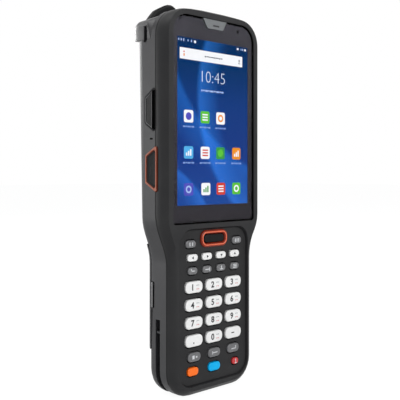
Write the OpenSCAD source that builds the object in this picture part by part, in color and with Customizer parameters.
// Portable data terminal: a touch display over a 29-key grip, with side scan triggers and a scan head.
// X runs across the device, the front faces -Y, and +Z runs up its length from the end face it stands on.

/* [Body] */
// Length of the two housings, from the end face to the top rim
body_length = 203.4; // [200:0.2:210]
// Width across the display block
display_block_width = 71.4; // [71:0.2:75]
// Width across the keypad grip
grip_width = 60.6; // [60:0.2:63]
// Depth from the front rim to the back of the scan head
body_depth = 27.4; // [27:0.1:29]
// How far the back of the housing lies in front of the back of the scan head, at its top
head_bulge = 3; // [2.7:0.1:3.4]
// How much thinner the housing is at the waist than at its top
waist_thinning = 2.3; // [1.5:0.1:2.5]
// How much further the back of the grip lies in front of that
grip_drop = 3; // [2.6:0.1:3.1]
// Wall thickness of both housings
shell_wall = 2.2; // [2:0.1:2.4]
// Corner radius at the top of the display block
top_corner = 15; // [14:0.5:15.5]
// Radius of the broad arch of the top rim, between its corners
top_arch = 80; // [75:1:100]
// Corner radius at the end face
end_corner = 14; // [12:0.5:14.5]
// Radius along the back edges
back_edge = 6; // [5:0.5:6]
// Length over which the display block narrows to the grip
waist_length = 24; // [22:0.5:27]

/* [Front rim] */
// How far the front rim leans in from the widest line, on the display block
rim_lean_wide = 2.9; // [2:0.1:3.2]
// The same on the grip
rim_lean_grip = 4.7; // [4:0.1:4.8]
// The same at the top end
rim_lean_top = 2; // [1.5:0.1:2.5]
// Depth of the leaning part of the rim, on the display block
rim_depth_wide = 6.2; // [5.5:0.1:6.4]
// The same on the grip
rim_depth_grip = 4; // [3.6:0.1:4.1]
// How much deeper the grip's rim lies than the display block's
grip_step = 0.6; // [0.4:0.1:0.8]

/* [Display] */
// Distance from the body's widest line to the cover glass, on each side
glass_side_margin = 6.4; // [6.2:0.1:6.6]
// Height of the cover glass
glass_height = 107.6; // [107:0.2:108.4]
// Thickness of the cover glass
glass_thickness = 1.25; // [1.1:0.05:1.4]
// Distance from the top rim to the cover glass
glass_top_margin = 5.4; // [5:0.1:6]
// How far the cover glass lies below the rim
glass_recess = 0.5; // [0.3:0.1:0.7]
// Gap round the cover glass
glass_gap = 0.45; // [0.35:0.05:0.5]
// Radius of the cover glass's top corners
glass_corner = 9; // [7:0.5:10]
// How far the cover glass reaches past the display module, on each side
module_side_border = 2; // [1.9:0.1:2.3]
// The same above it
module_top_border = 9.3; // [9:0.1:10]
// The same below it
module_low_border = 3.3; // [3:0.1:4]
// Thickness of the display module
module_thickness = 2.4; // [2.2:0.1:2.6]
// Width of the earpiece slot at the rim
earpiece_width = 17.6; // [16:0.2:19]

/* [Keypad] */
// Spacing of the number columns, in hundredths of the keypad's width
number_column_share = 29; // [28.8:0.1:29.4]
// Spacing of the number rows, in hundredths of the keypad's height
number_row_share = 11.52; // [11.4:0.02:11.7]
// Width of a number key, in hundredths of the keypad's width
number_key_width_share = 24.8; // [24:0.1:26]
// Height of a number key, in hundredths of the keypad's height
number_key_height_share = 8.64; // [8.2:0.02:8.9]
// Spacing of the four narrow columns, in hundredths of the keypad's width
narrow_column_share = 20.7; // [20.4:0.1:21.2]
// How far the key tops stand above the keypad panel
key_rise = 0.9; // [0.7:0.05:1.1]
// How far a key can be pressed
key_travel = 0.5; // [0.3:0.05:0.55]
// Gap round each key in the panel
key_gap = 0.2; // [0.15:0.01:0.22]
// Thickness of the keypad panel
panel_thickness = 0.85; // [0.75:0.05:0.9]
// Width of the orange ring round the scan key
scan_ring_width = 1.3; // [1.1:0.1:1.5]

/* [Scan head] */
// How far the ears of the scan head rise above the top rim
ear_rise = 4.4; // [4:0.1:5]
// Width of the recess between the ears
ear_gap = 22; // [21.6:0.1:23]
// Height of the scan head's housing at the back
head_height = 17.9; // [17.5:0.1:18.5]
// Width of the scan window
window_width = 20; // [19:0.1:20.2]
// Depth of the scan window, front to back
window_depth = 7.6; // [7:0.1:7.8]

/* [Side controls] */
// How far a scan trigger can be pressed
trigger_travel = 0.6; // [0.3:0.05:0.7]
// Length of the trigger frame along its front edge
trigger_length = 24.8; // [24:0.1:25.2]
// Length of the volume rocker along its front edge
rocker_length = 20.9; // [20:0.1:21.5]
// Length of the port cover
port_cover_length = 16.8; // [16:0.1:17.4]

/* [Battery] */
// How far the battery pack ends below the cover glass
battery_top_margin = 11.2; // [11:0.1:12]
// How far it starts above the end face
battery_low_margin = 24.2; // [23:0.1:26]
// How far the battery pack stands out behind the grip
battery_bulge = 1.4; // [1:0.1:1.8]
// How far a battery latch can be pressed
latch_travel = 1; // [0.5:0.1:1]

/* [Hidden] */
// Number of straight steps in each outline corner, in half the top arch, and in the waist
corner_steps = 7;
arch_steps = 2;
waist_steps = 8;
// Number of steps along the leaning rim and along the back edge
rim_steps = 4;
back_steps = 4;
// A slab this thin stands for an outline inside a hull
film = 0.02;
// Pieces of two bodies stay this far apart
loose = 0.2;
// Pieces pushed together by hand
snug = 0.1;
// How far a cut runs past the surface that it opens
past = 1;

// Slope of the top arch where it meets the corner, at the widest line and at the face
arch_slope = 14;
face_arch_slope = 5;

wide_half = display_block_width / 2;
grip_half = grip_width / 2;
front_y = -body_depth / 2;
back_y = body_depth / 2;
grip_face_y = front_y + grip_step;

// The cover glass and what hangs from it
glass_width = display_block_width - 2 * glass_side_margin;
glass_top = body_length - glass_top_margin;
glass_bottom = glass_top - glass_height;
glass_front_y = front_y + glass_recess;
glass_back_y = glass_front_y + glass_thickness;
module_width = glass_width - 2 * module_side_border;
module_height = glass_height - module_top_border - module_low_border;
module_top = glass_top - module_top_border;
module_bottom = module_top - module_height;
module_back_y = glass_back_y + module_thickness;
shelf_y = glass_back_y + 2;

// The waist, hung from the lower edge of the glass
waist_high = glass_bottom + 3.2;
waist_low = waist_high - waist_length;
rim_turn_high = glass_bottom - 1.7;
rim_turn_low = rim_turn_high - 9;

// The line where the housings meet runs forward at the waist
seam_high_y = front_y + 7.2;
seam_y = front_y + 4.95;
seam_turn_high = waist_high + 2.3;
seam_turn_low = waist_low + 1.4;

// The keypad: bay, panel, keys, mat and board, from the front
bay_half = grip_half - 5.3;
bay_bottom = 5.7;
bay_top = glass_bottom - 3.7;
bay_corner = 8;
panel_y = grip_face_y + 1.3;
panel_back_y = panel_y + panel_thickness;
ledge_back_y = seam_y - 0.1;
flange_y = panel_back_y + loose;
flange_thickness = 0.7;
flange_reach = 0.45;
mat_y = flange_y + flange_thickness + key_travel + loose;
mat_thickness = 1;
board_y = mat_y + mat_thickness;
board_thickness = 1;
board_back_y = board_y + board_thickness;

// One hundredth of the keypad's width and of its height, in which its keys are laid out
unit_x = 2 * bay_half / 100;
unit_z = (bay_top - bay_bottom) / 100;
// Rows, counted down from the top of the keypad
scan_row = 6.2;
scan_key_share = [33.4, 7.53];
function_row = 8.9;
arrow_row = 17.8;
small_row = 26.3;
number_row = 36.8;
action_row = number_row + 3 * number_row_share + 10.5;
colour_row = action_row + 9.25;
// The ledge that carries the panel stops short of the scan key's flange
ledge = (scan_row - scan_key_share[1] / 2) * unit_z - flange_reach - loose;
mat_inset = 2.6;
board_inset = mat_inset + loose;

KEY_WHITE = "white";
KEY_GREY = "dimgray";
// Each key: node, x, row, width, height, corner radius in mm, colour
KEYS = concat(
    [["key_scan", 0, scan_row, scan_key_share[0], scan_key_share[1], 3, "black"],
     ["key_f1", -33.8, function_row, 15.2, 5.93, 2.2, KEY_GREY],
     ["key_f2", 34.4, function_row, 15.2, 5.93, 2.2, KEY_GREY]],
    [for (i = [0:3]) [["key_up", "key_down", "key_left", "key_right"][i],
                      (i - 1.5) * narrow_column_share, arrow_row, 15, 5.68, 2, KEY_WHITE]],
    [for (i = [0:3]) [["key_back", "key_tab", "key_shift", "key_menu"][i],
                      (i - 1.5) * narrow_column_share, small_row, 14, 5.68, 2, KEY_GREY]],
    [for (i = [0:11]) [["key_1", "key_2", "key_3", "key_4", "key_5", "key_6",
                        "key_7", "key_8", "key_9", "key_dot", "key_0", "key_dash"][i],
                       (i % 3 - 1) * number_column_share, number_row + floor(i / 3) * number_row_share,
                       number_key_width_share, number_key_height_share, 2.7, KEY_WHITE]],
    [for (i = [0:2]) [["key_layout", "key_backspace", "key_enter"][i],
                      (i - 1) * 28.8, action_row, 18.6, 7.04, 2.6, KEY_GREY]],
    [["key_orange", -30.6, colour_row, 16, 6.42, 2.4, "darkorange"],
     ["key_blue", 0.2, colour_row, 18, 6.67, 2.5, "deepskyblue"],
     ["key_power", 32.2, colour_row, 10.4, 5.43, 1.6, "firebrick"]]);

// The scan head, from its joint with the housings to its back
head_joint_y = front_y + 10.95;
head_z = body_length - head_height;
ear_z = body_length + ear_rise;
ear_inner_x = ear_gap / 2;
// An ear's outline, outward from its inner edge and down from its top
EAR = [[0, -12], [0, -1.6], [0.9, -0.4], [2.4, 0], [5, -0.2], [7.4, -1.1], [10.3, -2.6], [12.6, -3.9],
       [14.6, -6], [16.4, -8.3], [17.8, -10.6], [17.8, -16]];
ear_y = head_joint_y + 8.6;
crown_half = 20;
crown_z = body_length - 3.2;
shoulder_round = 3.6;
shoulder_z = body_length - 7;
recess_z = body_length + 1.1;
window_thickness = 1;
window_y = head_joint_y + 3.6;
engine_size = [20, 10, 11.2];
engine_y = head_joint_y + 0.8;
engine_z = head_z + 2.4;
lanyard_slit = [3, 2.6, 8.4];
lanyard_y = head_joint_y + 4.6;
lanyard_low_z = head_z - 1.4;

// Side controls, placed beside the glass
trigger_z = down_glass(0.739);
trigger_front_y = front_y + 5.7;
trigger_width = 9.7;
trigger_slant = 5.1;
trigger_ring = 1.5;
trigger_inner_x = wide_half - 2.7;
trigger_proud = 0.5;
rocker_z = down_glass(0.457);
rocker_front_y = front_y + 7.9;
rocker_width = 7.2;
rocker_slant = 4.2;
rocker_proud = 0.3;
rocker_thickness = 3.2;
pivot_radius = 0.8;
pivot_clearance = 0.06;
pivot_x = wide_half - 4.4;
port_z = rocker_z;
port_frame_wall = 0.9;
port_frame_depth = 5;
port_cover_width = 4.6;
port_cover_thickness = 1.8;
port_pin_radius = 0.6;
port_pin_clearance = 0.06;
port_pivot_round = 0.9;
socket_size = [6.7, 3.3, 9];
socket_wall = 0.35;

// The battery pack lies on the grip between two heights
battery_z = battery_low_margin;
battery_top = glass_bottom - battery_top_margin;
battery_seat_y = back_y - 8.8;
battery_floor_y = board_back_y + 1.2;
well_half = grip_half - 5;
well_margin = 2.2;
tray_wall = 1.5;
latch_size = [3.1, 2.5, 13.2];
latch_z = battery_z + 0.522 * (battery_top - battery_z);
latch_y = battery_seat_y - 2.35;
latch_proud = 0.1;
tooth_size = [1, 1.5, 4.6];

// The groove on each side of the grip that guides it into a cradle
groove_y = front_y + 10.4;
groove_width = 3.3;
groove_depth = 3.2;
groove_top = 0.447 * glass_bottom;
groove_end_x = grip_half - 11.5;
groove_rib_z = 0.374 * glass_bottom;
groove_rib = 1.2;
groove_lining = 1.4;

// Boards and the plate between them and the display
chassis_thickness = 1;
inner_half = module_width / 2 - 0.5;
spacer = 1.2;
spacer_radius = 1.6;
main_board_y = module_back_y + chassis_thickness + spacer;
main_board_back_y = main_board_y + board_thickness;
port_y = main_board_back_y + socket_size[1] / 2;
// Each shielded part of the main board: its ends, as shares of the board's half height
SHIELDS = [[-0.66, -0.18], [0.13, 0.62]];
shield_height = 1.6;
port_pivot_x = wide_half - port_pivot_round + 0.1;
port_pivot_z = port_z - port_cover_length / 2 + port_pivot_round;

// Screws: x and z of one of each pair
SCREWS = [[wide_half - 6.3, down_glass(0.149)], [wide_half - 6.3, waist_high + 10.5], [grip_half - 5.4, 14]];
screw_head = [2, 1.3];
screw_shank = 1;
screw_sink = 2.4;
post_radius = 2.1;
post_meet_y = front_y + 8.3;
screw_tip_y = front_y + 4.7;

CONTACTS = [-9, -3, 3, 9];
contact_size = [3.4, 4, 1.4];
contact_recess = 0.15;
contact_y = -2.5;

camera_x = 18.2;
camera_z = glass_top - 3.4;
camera_radius = 1.9;
camera_depth = 3;
rear_camera_z = down_glass(0.26);
rear_camera_plate = [22, 11];
lens_radius = 4.2;
speaker_z = down_glass(0.818);
speaker_size = [20, 3, 12];
grille_slots = 5;
grille_pitch = 2.2;

SHELL = [0.25, 0.25, 0.27];
RUBBER = [0.1, 0.1, 0.11];
ORANGE = [0.92, 0.38, 0.16];

// ---- Outlines ----

function arc(cx, cy, r, from, to, steps = corner_steps) =
    [for (i = [0:steps]) let (a = from + (to - from) * i / steps) [cx + r * cos(a), cy + r * sin(a)]];

// A rectangle from low to high corner with a radius at its lower and one at its upper corners
function round_box(low, high, r_low, r_high, steps = 4) = concat(
    arc(high[0] - r_low, low[1] + r_low, r_low, -90, 0, steps),
    arc(high[0] - r_high, high[1] - r_high, r_high, 0, 90, steps),
    arc(low[0] + r_high, high[1] - r_high, r_high, 90, 180, steps),
    arc(low[0] + r_low, low[1] + r_low, r_low, 180, 270, steps));

function round_rect(w, h, r, steps = 4) = round_box([-w / 2, -h / 2], [w / 2, h / 2], r, r, steps);

function moved(points, x, y) = [for (p = points) [p[0] + x, p[1] + y]];

// A height on the display block, as a share of the cover glass's height down from its top
function down_glass(share) = glass_top - share * glass_height;

function ease(t) = (1 - cos(180 * min(max(t, 0), 1))) / 2;

// 0 on the grip and 1 on the display block, for the rim and for the side walls
function rim_share(z) = ease((z - rim_turn_low) / (rim_turn_high - rim_turn_low));
function side_share(z) = ease((z - waist_low) / (waist_high - waist_low));

function mix(a, b, t) = a + (b - a) * t;

// Height of the middle of a top corner
function corner_z(top, r, slope) = top - top_arch + (top_arch - r) * cos(slope);

// The right half of the top rim: its corner, then the arch up to the flat middle
function top_half(wide, top, r, slope) = concat(
    arc(wide - r, corner_z(top, r, slope), r, 0, 90 - slope),
    [for (i = [1:arch_steps]) let (a = 90 - slope * (1 - i / arch_steps))
        [wide - r - (top_arch - r) * sin(slope) + top_arch * cos(a), top - top_arch * (1 - sin(a))]]);

// Right half of the body's outline, seen from the front, bottom to top
function half_outline(wide, grip, bottom, top, r_bottom, r_top, slope) = concat(
    arc(grip - r_bottom, bottom + r_bottom, r_bottom, -90, 0),
    [for (i = [0:waist_steps]) let (z = mix(waist_low, waist_high, i / waist_steps))
        [mix(grip, wide, side_share(z)), z]],
    top_half(wide, top, r_top, slope));

// The same outline, the given distance inside the widest one
function inset_half(d) =
    half_outline(wide_half - d, grip_half - d, d, body_length - d, end_corner - d, top_corner - d, arch_slope);

function both_halves(half) = concat(half, [for (i = [len(half) - 1:-1:0]) [-half[i][0], half[i][1]]]);

// Depth of the rim, of the widest line, and of the back, at a height
function face_depth(z) = mix(grip_face_y, front_y, rim_share(z));
function widest_depth(z) = mix(grip_face_y + rim_depth_grip, front_y + rim_depth_wide, side_share(z));
function back_depth(z) = let (top = back_y - head_bulge, t = (z - waist_high) / (head_z - waist_high))
    top - mix(grip_drop, mix(waist_thinning, 0, min(max(t, 0), 1)), side_share(z));

// ---- Solids from outlines ----

// Points [x, z] as a slab from one depth to another
module slab(from_y, to_y, points)
    translate([0, to_y, 0]) rotate([90, 0, 0]) linear_extrude(to_y - from_y) polygon(points);

// Points [y, z] as a slab from one x to another
module side_slab(from_x, to_x, points)
    translate([from_x, 0, 0]) rotate([90, 0, 90]) linear_extrude(to_x - from_x) polygon(points);

module block(low, high) translate(low) cube([for (i = [0:2]) high[i] - low[i]]);

// A cylinder along Y
module bar(x, z, r, from_y, to_y, sides = 32)
    translate([x, to_y, z]) rotate([90, 0, 0]) cylinder(h = to_y - from_y, r = r, $fn = sides);

module both_sides() {
    children();
    mirror([1, 0, 0]) children();
}

// Joins rings of points that mirror left to right, and closes both ends with strips across X
module loft(rings) {
    n = len(rings[0]);
    last = (len(rings) - 1) * n;
    points = [for (ring = rings) each ring];
    sides = [for (k = [0:len(rings) - 2], i = [0:n - 1]) let (j = (i + 1) % n)
        each [[k * n + i, (k + 1) * n + j, (k + 1) * n + i], [k * n + i, k * n + j, (k + 1) * n + j]]];
    front = [for (i = [0:n / 2 - 2]) each [[i, n - 2 - i, i + 1], [i, n - 1 - i, n - 2 - i]]];
    back = [for (f = front) [last + f[2], last + f[1], last + f[0]]];
    polyhedron(points = points, faces = concat(sides, front, back));
}

function front_ring(t, half) = [for (p = both_halves(half))
    [p[0], mix(face_depth(p[1]), widest_depth(p[1]), t), p[1]]];

function back_ring(rise, half, thinner = 0) = [for (p = both_halves(half))
    [p[0], back_depth(p[1]) + rise - thinner, p[1]]];

// The leaning rim, from the face at t = 0 to the widest line at t = 1
function rim_half(t) = let (lean = pow(1 - t, 1.6)) half_outline(
    wide_half - lean * rim_lean_wide, grip_half - lean * rim_lean_grip,
    lean * 2.9, body_length - lean * rim_lean_top,
    end_corner - lean * 3.2, top_corner - lean * 2, mix(arch_slope, face_arch_slope, lean));

// The outer form of the two housings together, with its back moved by bulge
module body_form(bulge = 0) {
    rings = concat(
        [for (i = [0:rim_steps]) front_ring(i / rim_steps, rim_half(i / rim_steps))],
        [for (i = [0:back_steps]) let (a = 90 * i / back_steps)
            back_ring(bulge - back_edge * (1 - sin(a)), inset_half(back_edge * (1 - cos(a))))]);
    loft(rings);
}

// The space inside both housings
module cavity_form() {
    inner = inset_half(shell_wall);
    round_in = back_edge - shell_wall;
    rings = concat(
        [[for (p = both_halves(inner)) [p[0], mix(ledge_back_y, shelf_y, rim_share(p[1])), p[1]]]],
        [for (i = [0:2]) let (a = 45 * i)
            back_ring(-round_in * (1 - sin(a)), inset_half(shell_wall + round_in * (1 - cos(a))), shell_wall)]);
    loft(rings);
}

// Everything in front of the line where the housings meet
module front_side() {
    side_slab(-wide_half - 5, wide_half + 5, [
        [front_y - 5, -5], [seam_y, -5], [seam_y, seam_turn_low], [seam_high_y, seam_turn_high],
        [seam_high_y, body_length + 20], [front_y - 5, body_length + 20]]);
}

// ---- Cuts shared by the housings ----

// A side key's outline in [y, z]: long at the front, short at the back
function side_key(front, width, length, slant, grow, r) = let (
    lean = slant / width, f = front - grow, b = front + width + grow,
    h = length / 2 + grow * (lean + sqrt(1 + lean * lean)), s = h - slant - 2 * lean * grow) concat(
    arc(f + r, -h + 1.6 * r, r, 180, 300, 3),
    arc(b - r, -s + 0.6 * r, r, -60, 0, 3),
    arc(b - r, s - 0.6 * r, r, 0, 60, 3),
    arc(f + r, h - 1.6 * r, r, 60, 180, 3));

function trigger_outline(grow) = moved(side_key(
    trigger_front_y, trigger_width, trigger_length, trigger_slant, grow, 1.2 + max(grow, -0.8) * 0.5),
    0, trigger_z);

function rocker_outline(grow) = moved(side_key(
    rocker_front_y, rocker_width, rocker_length, rocker_slant, grow, 1 + max(grow, -0.5) * 0.5),
    0, rocker_z);

module side_key_holes() {
    both_sides() side_slab(trigger_inner_x - 2, wide_half + past, trigger_outline(snug));
    mirror([1, 0, 0]) {
        side_slab(wide_half - 6, wide_half + past, rocker_outline(loose));
        hull() {
            side_slab(wide_half - 0.7, wide_half - 0.7 + film, rocker_outline(0.5));
            side_slab(wide_half + past, wide_half + past + film, rocker_outline(1.8));
        }
    }
}

module screw_holes() {
    for (s = SCREWS) both_sides() {
        bar(s[0], s[1], screw_shank + 0.25, screw_tip_y - 0.2, back_y);
        bar(s[0], s[1], screw_head[0] + 0.3, back_depth(s[1]) - screw_sink, back_y + past);
    }
}

// A post that widens towards its foot
module post(x, z, foot_y, tip_y) {
    foot = 0.3;
    hull() {
        bar(x, z, post_radius, min(foot_y, tip_y), max(foot_y, tip_y), 24);
        bar(x, z, post_radius + foot, foot_y - foot, foot_y + foot, 24);
    }
}

// ---- Housings ----

module glass_outline_slab(from_y, to_y, grow)
    slab(from_y, to_y, round_box(
        [-glass_width / 2 - grow, glass_bottom - grow], [glass_width / 2 + grow, glass_top + grow],
        1.2 + grow, glass_corner + grow, 6));

function bay_outline(grow) = round_box(
    [-bay_half - grow, bay_bottom - grow], [bay_half + grow, bay_top + grow],
    bay_corner + grow, bay_corner + grow, 6);

module front_housing() color(SHELL) difference() {
    union() {
        difference() {
            intersection() {
                body_form();
                front_side();
            }
            cavity_form();
        }
        for (s = SCREWS) both_sides()
            post(s[0], s[1], mix(ledge_back_y, shelf_y, rim_share(s[1])), post_meet_y);
    }
    glass_outline_slab(front_y - past, glass_back_y, glass_gap);
    slab(front_y, shelf_y + past, round_rect_at(
        module_width + 2 * loose, module_height + 2 * loose, 1, (module_top + module_bottom) / 2));
    hull() {
        slab(front_y - past, front_y - past + film, bay_outline(1.2));
        slab(panel_y - film, panel_y, bay_outline(0));
    }
    slab(panel_y - 2 * film, panel_back_y, bay_outline(0));
    slab(panel_y, seam_y + past, bay_outline(-ledge));
    bar(camera_x, camera_z, camera_radius + 0.2, front_y, shelf_y + past, 24);
    side_key_holes();
    screw_holes();
    port_hole(snug);
}

function round_rect_at(w, h, r, z) = moved(round_rect(w, h, r), 0, z);

// The groove's path: a band along the outline at the sides and round the end's corners
module groove_band(from_y, to_y, outer, inner, top, end_x) {
    difference() {
        slab(from_y, to_y, both_halves(inset_half(outer)));
        slab(from_y - past, to_y + past, both_halves(inset_half(inner)));
        block([-wide_half - past, from_y - past, top], [wide_half + past, to_y + past, body_length + past]);
        block([-end_x, from_y - past, -past], [end_x, to_y + past, inner + past]);
    }
}

module battery_space(grow) {
    block([-wide_half - past, battery_seat_y, battery_z - grow],
          [wide_half + past, back_y + past, battery_top + grow]);
    block([-well_half - grow, battery_floor_y - grow, battery_z + well_margin - grow],
          [well_half + grow, battery_seat_y + past, battery_top - well_margin + grow]);
}

module latch_pocket() {
    x = grip_half + latch_proud - latch_size[0];
    block([x - latch_travel - loose, latch_y - latch_size[1] / 2 - snug, latch_z - latch_size[2] / 2 - snug],
          [grip_half + past, latch_y + latch_size[1] / 2 + snug, latch_z + latch_size[2] / 2 + snug]);
    tooth_pocket(battery_seat_y + past);
}

// Room for a latch's tooth to move sideways
module tooth_pocket(to_y) {
    x = grip_half + latch_proud - latch_size[0];
    block([x - latch_travel - loose, latch_y, latch_z - tooth_size[2] / 2 - loose],
          [x + tooth_size[0] + loose, to_y, latch_z + tooth_size[2] / 2 + loose]);
}

module port_hole(grow) {
    half_length = port_cover_length / 2 + port_frame_wall + loose;
    half_width = port_cover_width / 2 + port_frame_wall + loose;
    block([wide_half - 6, port_y - half_width - grow, port_z - half_length - grow],
          [wide_half + past, port_y + half_width + grow, port_z + half_length + grow]);
}

module speaker_slots() {
    for (i = [0:grille_slots - 1]) {
        z = speaker_z + (i - (grille_slots - 1) / 2) * grille_pitch;
        hull() both_sides() bar(speaker_size[0] / 2 - 3, z, 0.6, 0, back_y, 16);
    }
}

module camera_hole(grow)
    slab(0, back_y, round_rect_at(
        rear_camera_plate[0] + 2 * grow, rear_camera_plate[1] + 2 * grow, 4 + grow, rear_camera_z));

module lanyard_slits(depth) {
    both_sides() block(
        [wide_half - depth, lanyard_y - lanyard_slit[1] / 2, lanyard_low_z],
        [wide_half + past, lanyard_y + lanyard_slit[1] / 2, lanyard_low_z + lanyard_slit[2]]);
}

module rear_housing() color(SHELL) difference() {
    union() {
        difference() {
            body_form();
            front_side();
            cavity_form();
        }
        for (s = SCREWS) both_sides()
            post(s[0], s[1], back_depth(s[1]) - shell_wall / 2, post_meet_y);
        intersection() {
            slab(battery_floor_y - 1, battery_seat_y, both_halves(inset_half(shell_wall / 2)));
            block([-wide_half, front_y, battery_z - tray_wall], [wide_half, back_y, battery_top + tray_wall]);
        }
        intersection() {
            body_form();
            union() {
                for (z = [battery_z - tray_wall, battery_top])
                    block([-wide_half, battery_seat_y - past, z], [wide_half, back_y, z + tray_wall]);
            }
        }
        groove_band(groove_y - groove_lining, groove_y + groove_width + groove_lining,
            shell_wall / 2, groove_depth + groove_lining, groove_top + groove_lining,
            groove_end_x - groove_lining);
    }
    battery_space(snug);
    both_sides() latch_pocket();
    difference() {
        groove_band(groove_y, groove_y + groove_width, -past, groove_depth, groove_top, groove_end_x);
        both_sides() block([grip_half - groove_depth, groove_y, groove_rib_z - groove_rib / 2],
            [grip_half - 0.6, groove_y + groove_width, groove_rib_z + groove_rib / 2]);
    }
    block([-wide_half - past, head_joint_y, head_z], [wide_half + past, back_y + past, ear_z + past]);
    side_key_holes();
    screw_holes();
    port_hole(snug);
    lanyard_slits(shell_wall - 0.8);
    speaker_slots();
    camera_hole(snug);
    for (x = CONTACTS) block(
        [x - contact_size[0] / 2 - snug, contact_y - contact_size[1] / 2 - snug, -past],
        [x + contact_size[0] / 2 + snug, contact_y + contact_size[1] / 2 + snug, contact_recess + contact_size[2]]);
}

// ---- Display ----

function earpiece_outline(grow) = let (
    half = earpiece_width / 2 + grow, low = glass_top - 4.8 - grow, top = glass_top + glass_gap - snug)
    [[-half, top], [-half + 2.6, low + 0.8], [-half + 3.4, low], [half - 3.4, low], [half - 2.6, low + 0.8],
     [half, top]];

module touch_glass() color([0.05, 0.05, 0.06, 0.6]) difference() {
    glass_outline_slab(glass_front_y, glass_back_y, 0);
    slab(glass_front_y - past, glass_back_y + past, concat(
        earpiece_outline(snug), [[earpiece_width, glass_top + past], [-earpiece_width, glass_top + past]]));
}

module display_module() color([0.06, 0.2, 0.5])
    slab(glass_back_y, module_back_y,
        round_rect_at(module_width, module_height, 0.8, (module_top + module_bottom) / 2));

module earpiece_grille() color("slategray") slab(glass_front_y - 0.1, glass_back_y, earpiece_outline(0));

module front_camera() color("black") {
    bar(camera_x, camera_z, camera_radius, glass_back_y, glass_back_y + camera_depth);
}

// ---- Keypad ----

function key_outline(k, grow) = let (w = k[3] * unit_x, h = k[4] * unit_z) moved(
    round_rect(w + 2 * grow, h + 2 * grow, min(k[5], h / 2 - 0.1) + grow),
    k[1] * unit_x, bay_top - k[2] * unit_z);

module key(k) color(k[6]) {
    top = panel_y - key_rise;
    edge = 0.35;
    hull() {
        slab(top + edge, flange_y + film, key_outline(k, 0));
        slab(top, top + film, key_outline(k, -edge * 1.4));
    }
    slab(flange_y, flange_y + flange_thickness, key_outline(k, flange_reach));
}

module keypad_panel() color(RUBBER) difference() {
    slab(panel_y, panel_back_y, bay_outline(-snug));
    for (k = KEYS) slab(panel_y - past, panel_back_y + past, key_outline(k, key_gap));
}

module scan_key_ring() color(ORANGE) {
    k = KEYS[0];
    difference() {
        slab(panel_y - key_rise - 0.3, panel_y, key_outline(k, key_gap + scan_ring_width));
        slab(panel_y - key_rise - past, panel_y + past, key_outline(k, key_gap));
    }
}

module keypad_mat() color("dimgray")
    slab(mat_y, board_y, bay_outline(-mat_inset));

module keypad_board() color("darkgreen") {
    slab(board_y, board_back_y, bay_outline(-board_inset));
}

// ---- Chassis and electronics ----

module chassis_plate() color("silver")
    slab(module_back_y, module_back_y + chassis_thickness, round_rect_at(
        2 * inner_half, module_height - 1, 2, (module_top + module_bottom) / 2));

module main_board() color("darkgreen") {
    mid = (module_top + module_bottom) / 2;
    half_height = module_height / 2 - 2;
    slab(main_board_y, main_board_back_y, round_rect_at(2 * inner_half, 2 * half_height, 1.5, mid));
    for (x = [-1, 1], z = [-1, 1])
        bar(x * (inner_half - 3), mid + z * (half_height - 3), spacer_radius,
            main_board_y - spacer, main_board_y);
    for (z = SHIELDS) block(
        [-0.52 * inner_half, main_board_back_y, mid + z[0] * half_height],
        [0.45 * inner_half, main_board_back_y + shield_height, mid + z[1] * half_height]);
}

module loudspeaker() color("black") {
    back = back_depth(speaker_z - speaker_size[2] / 2) - shell_wall - 0.25;
    block([-speaker_size[0] / 2, back - speaker_size[1], speaker_z - speaker_size[2] / 2],
          [speaker_size[0] / 2, back, speaker_z + speaker_size[2] / 2]);
}

module rear_camera() color("black") {
    face = back_depth(rear_camera_z) + 0.3;
    slab(face - 4.2, face, round_rect_at(rear_camera_plate[0], rear_camera_plate[1], 4, rear_camera_z));
    bar(-rear_camera_plate[0] / 4, rear_camera_z, lens_radius, face, face + 0.5);
    bar(rear_camera_plate[0] / 4, rear_camera_z, 1.8, face, face + 0.2);
}

module charging_contacts() color("gold")
    for (x = CONTACTS) block(
        [x - contact_size[0] / 2, contact_y - contact_size[1] / 2, contact_recess],
        [x + contact_size[0] / 2, contact_y + contact_size[1] / 2, contact_recess + contact_size[2]]);

module housing_screws() color("dimgray")
    for (s = SCREWS) both_sides() {
        seat = back_depth(s[1]) - screw_sink;
        difference() {
            bar(s[0], s[1], screw_head[0], seat, seat + screw_head[1]);
            bar(s[0], s[1], 0.8, seat + 0.5, seat + past + 1, 6);
        }
        bar(s[0], s[1], screw_shank, screw_tip_y, seat);
    }

// ---- Battery ----

module battery_pack() color(SHELL) difference() {
    union() {
        intersection() {
            body_form(battery_bulge);
            block([-wide_half, battery_seat_y, battery_z], [wide_half, back_y, battery_top]);
        }
        block([-well_half, battery_floor_y, battery_z + well_margin],
              [well_half, battery_seat_y + past, battery_top - well_margin]);
    }
    both_sides() tooth_pocket(battery_seat_y + tooth_size[1] + loose);
}

module battery_latch() color(RUBBER) {
    x = grip_half + latch_proud;
    low_y = latch_y - latch_size[1] / 2;
    block([x - latch_size[0], low_y, latch_z - latch_size[2] / 2],
          [x, low_y + latch_size[1], latch_z + latch_size[2] / 2]);
    block([x - latch_size[0], latch_y, latch_z - tooth_size[2] / 2],
          [x - latch_size[0] + tooth_size[0], battery_seat_y + tooth_size[1], latch_z + tooth_size[2] / 2]);
}

module battery_latch_left() mirror([1, 0, 0]) battery_latch();

module battery_latch_right() battery_latch();

// ---- Scan head ----

// One cross-section of the head: round shoulders under a crown, above a flat foot
module head_section(y, side_x, drop, foot_z) {
    both_sides() {
        bar(side_x - shoulder_round, shoulder_z - drop - shoulder_round, shoulder_round, y, y + film, 24);
        block([crown_half - 1, y, crown_z - drop - 1], [crown_half, y + film, crown_z - drop]);
        block([side_x - 1, y, foot_z], [side_x, y + film, foot_z + 1]);
    }
}

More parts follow.
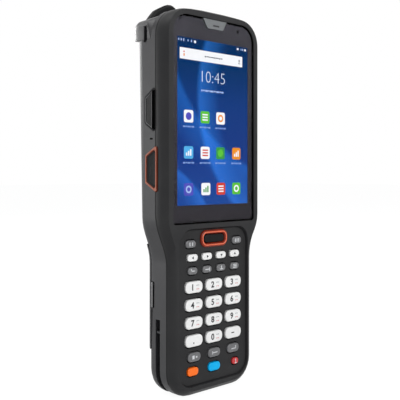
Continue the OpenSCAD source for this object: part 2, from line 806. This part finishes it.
module head_form() hull() {
    both_sides() slab(head_joint_y, head_joint_y + film, concat(
        moved(top_half(wide_half, body_length, top_corner, arch_slope),
            0, head_z - corner_z(body_length, top_corner, arch_slope)),
        [[0, head_z]]));
    head_section(head_joint_y + 3, wide_half - 0.1, 0, head_z);
    head_section(back_y - 4.5, wide_half - 0.2, 0, head_z);
    head_section(back_y - 1.5, wide_half - 1.2, 0.6, head_z + 0.4);
    head_section(back_y - film, wide_half - 3.4, 1.4, head_z + 1.6);
}

module ear_slab(y, drop)
    slab(y, y + film, [for (p = EAR) [ear_inner_x + p[0], ear_z + p[1] - drop]]);

module ear_forms() both_sides() hull() {
    ear_slab(ear_y, 1.4);
    ear_slab(ear_y + 1.8, 0);
    ear_slab(back_y - 3, 0.4);
    ear_slab(back_y - 1.5, 1.4);
    ear_slab(back_y - 0.3, 4);
}

module engine_space() {
    block([-engine_size[0] / 2 - 0.3, head_joint_y - past, engine_z],
          [engine_size[0] / 2 + 0.3, engine_y + engine_size[1] + 0.3, engine_z + engine_size[2] + 0.3]);
}

module head_hollows() {
    both_sides() block([engine_size[0] / 2 + 2.5, head_joint_y - past, head_z + 2],
                       [wide_half - 9, back_y - 4.5, body_length - 9]);
}

// The light's way from the scan engine to the window
module window_well()
    block([-window_width / 2 + 1, window_y + 1, engine_z], [window_width / 2 - 1, window_y + window_depth - 1, ear_z]);

module scan_head_cover() color(SHELL) difference() {
    head_form();
    engine_space();
    head_hollows();
    lanyard_slits(lanyard_slit[0]);
    window_well();
}

module scan_bezel() color(RUBBER) difference() {
    union() {
        ear_forms();
        block([-ear_inner_x - 0.5, ear_y - 5.6, crown_z - 1], [ear_inner_x + 0.5, back_y - 1.6, recess_z]);
    }
    head_form();
    block([-window_width / 2 - snug, window_y - snug, recess_z - window_thickness - 0.1],
          [window_width / 2 + snug, window_y + window_depth + snug, ear_z + past]);
    window_well();
}

module scan_window() color([0.3, 0.02, 0.05, 0.7]) {
    top = recess_z - 0.1;
    block([-window_width / 2, window_y, top - window_thickness],
          [window_width / 2, window_y + window_depth, top]);
}

module scan_engine() color("darkslategray") {
    block([-engine_size[0] / 2, engine_y, engine_z],
          [engine_size[0] / 2, engine_y + engine_size[1], engine_z + engine_size[2]]);
}

// ---- Side controls ----

module trigger_frames() color(ORANGE) both_sides() difference() {
    side_slab(trigger_inner_x, wide_half + trigger_proud, trigger_outline(0));
    side_slab(trigger_inner_x - past, wide_half + past, trigger_outline(-trigger_ring));
}

module scan_trigger() color(RUBBER) {
    side_slab(trigger_inner_x - loose - 0.8, wide_half + trigger_proud - 0.2,
        trigger_outline(-trigger_ring - loose));
    side_slab(trigger_inner_x - loose - 0.8, trigger_inner_x - loose, trigger_outline(-trigger_ring + 0.6));
}

module scan_trigger_left() mirror([1, 0, 0]) scan_trigger();

module scan_trigger_right() scan_trigger();

module volume_rocker() color(RUBBER) mirror([1, 0, 0]) {
    mid_y = rocker_front_y + rocker_width / 2;
    back_x = wide_half + rocker_proud - rocker_thickness;
    side_slab(back_x, wide_half + rocker_proud, rocker_outline(0));
    block([pivot_x, mid_y - 2, rocker_z - 0.4], [back_x + film, mid_y + 2, rocker_z + 0.4]);
    bar(pivot_x, rocker_z, pivot_radius, mid_y - 2, mid_y + 2);
}

module side_key_bracket() color("gray") mirror([1, 0, 0]) {
    mid_y = rocker_front_y + rocker_width / 2;
    difference() {
        block([inner_half - 4, main_board_back_y, rocker_z - 2.3], [pivot_x + 0.5, mid_y + 2, rocker_z + 2.3]);
        bar(pivot_x, rocker_z, pivot_radius + pivot_clearance, mid_y - 2 - past, mid_y + 2 + past);
        block([pivot_x, mid_y - 2 - past, rocker_z - 0.7], [pivot_x + past, mid_y + 2 + past, rocker_z + 0.7]);
    }
}

module port_frame() color(RUBBER) {
    half_length = port_cover_length / 2 + port_frame_wall + loose;
    half_width = port_cover_width / 2 + port_frame_wall + loose;
    floor_x = wide_half + 0.1 - port_cover_thickness - loose;
    difference() {
        block([wide_half - port_frame_depth, port_y - half_width, port_z - half_length],
              [wide_half - 0.1, port_y + half_width, port_z + half_length]);
        block([floor_x, port_y - port_cover_width / 2 - loose, port_z - port_cover_length / 2 - loose],
              [wide_half + past, port_y + port_cover_width / 2 + loose, port_z + port_cover_length / 2 + loose]);
        block([wide_half - port_frame_depth - past, port_y - socket_size[1] / 2 - snug,
               port_z - socket_size[2] / 2 - snug],
              [wide_half + past, port_y + socket_size[1] / 2 + snug, port_z + socket_size[2] / 2 + snug]);
        bar(port_pivot_x, port_pivot_z, port_pin_radius + port_pin_clearance,
            port_y - port_cover_width / 2 - loose - 0.7, port_y + port_cover_width / 2 + loose + 0.7);
    }
}

module port_cover() color(RUBBER) {
    inner_x = wide_half + 0.1 - port_cover_thickness;
    half_width = port_cover_width / 2;
    block([inner_x, port_y - half_width, port_pivot_z],
          [wide_half + 0.1, port_y + half_width, port_z + port_cover_length / 2]);
    bar(port_pivot_x, port_pivot_z, port_pivot_round, port_y - half_width, port_y + half_width);
    bar(port_pivot_x, port_pivot_z, port_pin_radius, port_y - half_width - loose - 0.6,
        port_y + half_width + loose + 0.6);
}

module usb_socket() color("silver") {
    mouth = wide_half + 0.1 - port_cover_thickness - 2 * loose;
    half = [socket_size[1] / 2, socket_size[2] / 2];
    difference() {
        block([mouth - socket_size[0], port_y - half[0], port_z - half[1]],
              [mouth, port_y + half[0], port_z + half[1]]);
        block([mouth - socket_size[0] + 1, port_y - half[0] + socket_wall, port_z - half[1] + socket_wall],
              [mouth + past, port_y + half[0] - socket_wall, port_z + half[1] - socket_wall]);
    }
}

for (k = KEYS) key(k);
front_housing();
rear_housing();
touch_glass();
display_module();
earpiece_grille();
front_camera();
keypad_panel();
scan_key_ring();
keypad_mat();
keypad_board();
chassis_plate();
main_board();
battery_pack();
battery_latch_left();
battery_latch_right();
scan_head_cover();
scan_bezel();
scan_window();
scan_engine();
trigger_frames();
scan_trigger_left();
scan_trigger_right();
volume_rocker();
side_key_bracket();
port_frame();
port_cover();
usb_socket();
housing_screws();
loudspeaker();
charging_contacts();
rear_camera();
